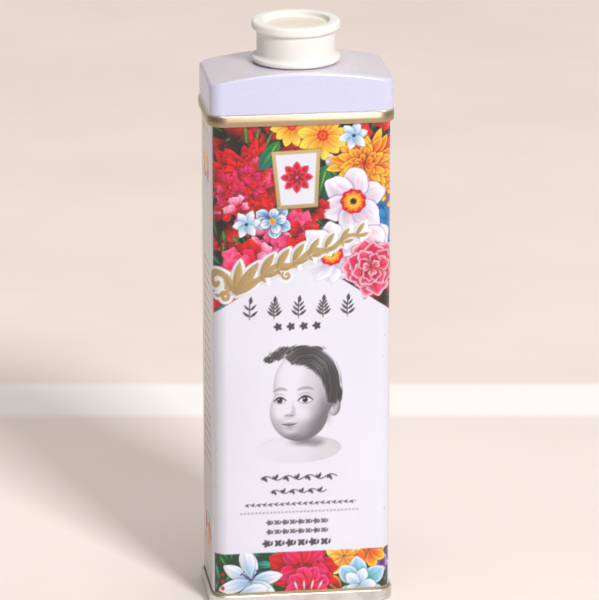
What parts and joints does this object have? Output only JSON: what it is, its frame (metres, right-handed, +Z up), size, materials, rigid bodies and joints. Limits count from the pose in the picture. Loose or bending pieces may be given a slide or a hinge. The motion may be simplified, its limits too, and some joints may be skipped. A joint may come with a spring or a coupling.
{
  "type": "talcum powder tin",
  "caption": "Tall rectangular tinplate powder tin with a printed sleeve, arched shoulder, folded seams and a quarter-turn plastic sifter dial.",
  "frame": {"origin": "on the floor, at the centre of the tin's footprint", "axes": "+Z up along the tin's height, +X across the wide front to its right as seen from the front, +Y from the front to the back"},
  "size_m": [0.056, 0.0324, 0.1793],
  "materials": {
    "printed_tinplate": "glossy litho print under varnish",
    "gold_tinplate": "gold lacquer, satin",
    "lilac_enamel": "glossy lilac white enamel",
    "sealing_compound": "matte",
    "white_plastic": "moulded, soft gloss"
  },
  "bodies": {
    "tin": {"tin_body": "printed_tinplate", "bottom_end": "gold_tinplate", "shoulder": "lilac_enamel", "bottom_seam_compound": "sealing_compound", "upper_seam_compound": "sealing_compound", "sifter_base": "white_plastic"},
    "dial": {"twist_dial": "white_plastic"}
  },
  "joints": [
    {"name": "dial_turn", "type": "hinge", "parent": "tin", "child": "dial", "pos_m": [0, 0, 0.1765], "axis": [0, 0, 1], "range_deg": [0, 90]}
  ]
}
